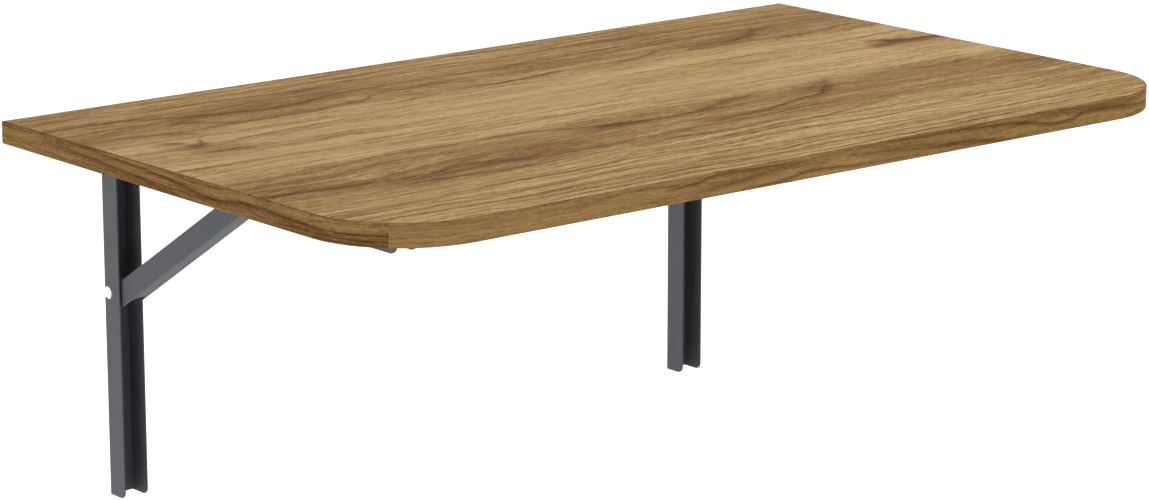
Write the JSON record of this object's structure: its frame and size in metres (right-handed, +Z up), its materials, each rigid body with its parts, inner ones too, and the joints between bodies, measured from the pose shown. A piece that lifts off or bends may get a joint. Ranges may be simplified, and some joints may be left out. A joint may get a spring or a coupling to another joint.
{
  "type": "wall mounted drop leaf table",
  "caption": "Wall mounted drop leaf table: an oak-look leaf with round front corners on two folding channel-steel brackets with struts.",
  "frame": {"origin": "middle of the wall screw pattern, on the wall plane", "axes": "+X along the wall to the right as seen from the room, +Y into the wall, +Z up; the leaf reaches out along -Y"},
  "size_m": [1, 0.6, 0.391],
  "materials": {
    "decor": "rustic oak melamine decor, satin",
    "band": "oak-print edge band, satin",
    "powder": "graphite grey powder coat",
    "zinc": "bright zinc plate",
    "nylon": "black nylon"
  },
  "bodies": {
    "root": {"wall_rail_left": "powder", "arm_rivet_left": "powder", "arm_sleeve_left": "zinc", "foot_rivet_left": "powder", "foot_sleeve_left": "zinc", "foot_spacers_left": "nylon", "wall_rail_right": "powder", "arm_rivet_right": "powder", "arm_sleeve_right": "zinc", "foot_rivet_right": "powder", "foot_sleeve_right": "zinc", "foot_spacers_right": "nylon"},
    "leaf": {"leaf_core": "decor", "edge_band_left": "band", "edge_band_front": "band", "edge_band_right": "band", "edge_band_back": "band", "support_arm_left": "powder", "leaf_screws_left": "zinc", "support_arm_right": "powder", "leaf_screws_right": "zinc"},
    "strut_left": {"strut_left": "powder"},
    "slide_pin_left": {"slide_pin_left": "zinc"},
    "strut_right": {"strut_right": "powder"},
    "slide_pin_right": {"slide_pin_right": "zinc"}
  },
  "joints": [
    {"name": "leaf_fold", "type": "hinge", "parent": "root", "child": "leaf", "pos_m": [0, -0.0145, 0.178], "axis": [1, 0, 0], "range_deg": [0, 90]},
    {"name": "strut_swing_left", "type": "hinge", "parent": "root", "child": "strut_left", "pos_m": [-0.3641, -0.0175, 0.0423], "axis": [1, 0, 0], "range_deg": [0, 121.3]},
    {"name": "slide_travel_left", "type": "slide", "parent": "leaf", "child": "slide_pin_left", "axis": [0, -1, 0], "range_m": [0, 0.1733]},
    {"name": "strut_swing_right", "type": "hinge", "parent": "root", "child": "strut_right", "pos_m": [0.3641, -0.0175, 0.0423], "axis": [1, 0, 0], "range_deg": [0, 121.3]},
    {"name": "slide_travel_right", "type": "slide", "parent": "leaf", "child": "slide_pin_right", "axis": [0, -1, 0], "range_m": [0, 0.1733]}
  ],
  "couplings": [
    {"joint": "strut_swing_left", "follows": "leaf_fold", "ratio": 1.3473},
    {"joint": "slide_travel_left", "follows": "leaf_fold", "m_per_rad": 0.11025},
    {"joint": "strut_swing_right", "follows": "leaf_fold", "ratio": 1.3473},
    {"joint": "slide_travel_right", "follows": "leaf_fold", "m_per_rad": 0.11025}
  ]
}
